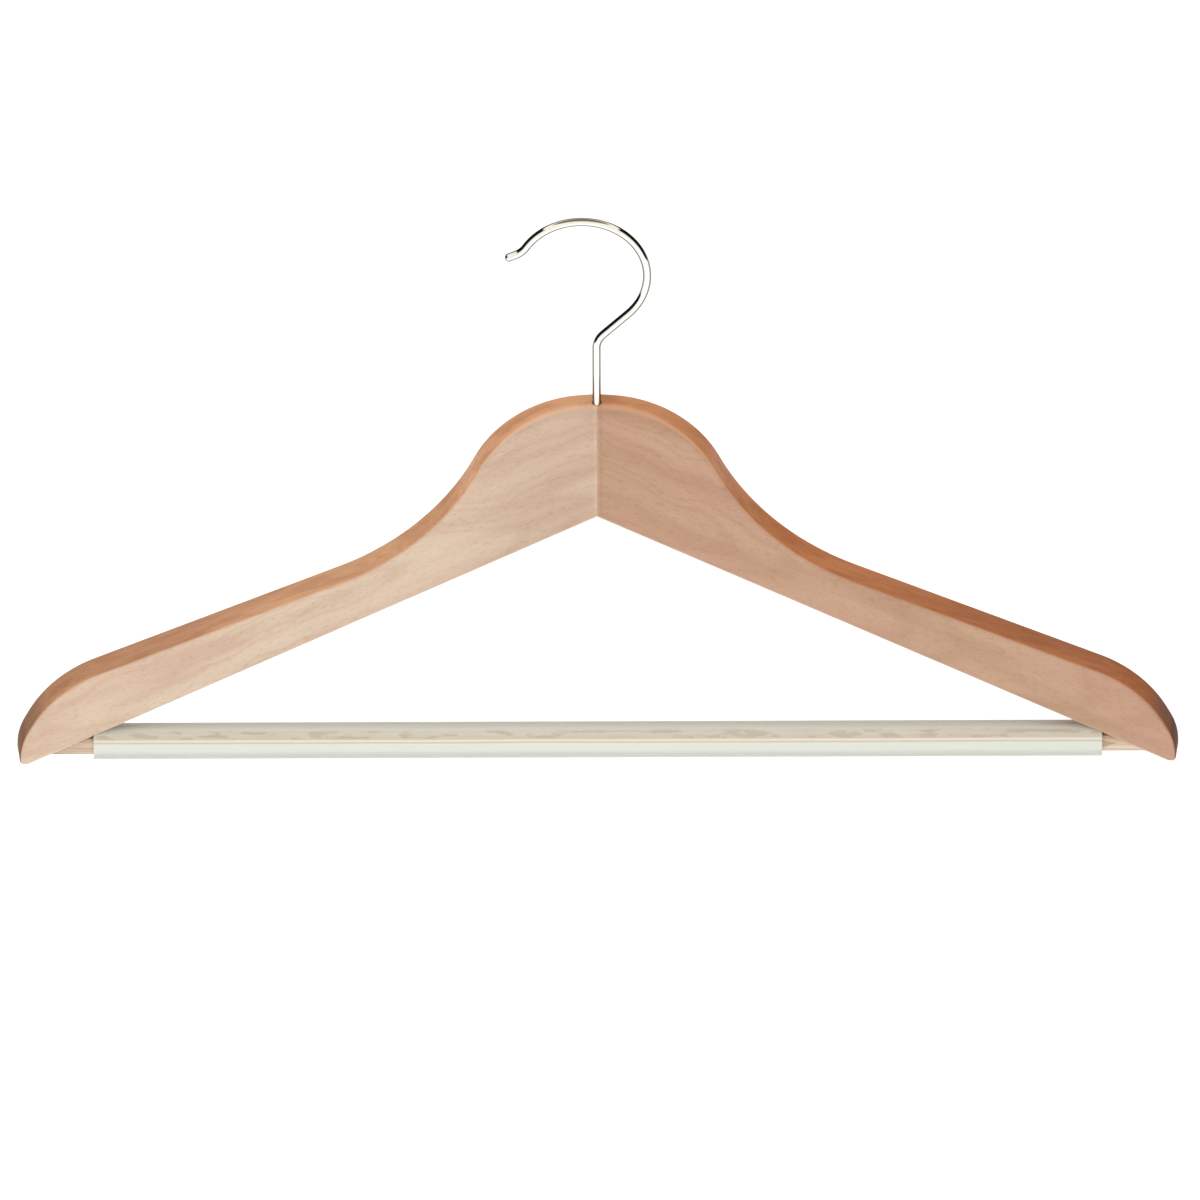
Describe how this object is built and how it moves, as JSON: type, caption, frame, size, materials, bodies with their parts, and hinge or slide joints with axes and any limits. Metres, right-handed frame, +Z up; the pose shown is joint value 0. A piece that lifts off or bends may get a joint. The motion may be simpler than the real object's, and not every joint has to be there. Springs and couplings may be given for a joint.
{
  "type": "clothes hanger",
  "caption": "Wooden shoulder hanger with a swivelling wire hook and a round trouser bar in a clear anti-slip sleeve.",
  "frame": {"origin": "half way along the hanger, half way through its depth, level with the lowest line of the bar sleeve", "axes": "+X along the hanger to its right arm as seen from the front, -Y to the front (the side the arm tips lean to), +Z up to the hook"},
  "size_m": [0.4452, 0.0357, 0.2342],
  "materials": {
    "left_beech": "thin clear satin lacquer on pale beech",
    "right_beech": "thin clear satin lacquer on redder beech",
    "joint_beech": "bare beech, hidden in the joint",
    "bar_beech": "bare sanded beech dowel",
    "hook_chrome": "bright plated wire",
    "brad_steel": "plain steel",
    "clear_vinyl": "clear, faintly green, glossy soft vinyl"
  },
  "bodies": {
    "frame": {"left_arm": "left_beech", "right_arm": "right_beech", "joint_dowel_upper": "joint_beech", "joint_dowel_lower": "joint_beech", "hook_lock_pin": "brad_steel", "trouser_bar": "bar_beech", "bar_pin_left": "brad_steel", "bar_pin_right": "brad_steel"},
    "hook": {"hook": "hook_chrome"},
    "sleeve": {"bar_sleeve": "clear_vinyl"}
  },
  "joints": [
    {"name": "hook_swivel", "type": "hinge", "parent": "frame", "child": "hook", "pos_m": [0, 0.01164, 0.149], "axis": [0, 0, 1], "continuous": true},
    {"name": "sleeve_roll", "type": "hinge", "parent": "frame", "child": "sleeve", "pos_m": [0, -0.01042, 0.007], "axis": [1, 0, 0], "continuous": true}
  ]
}
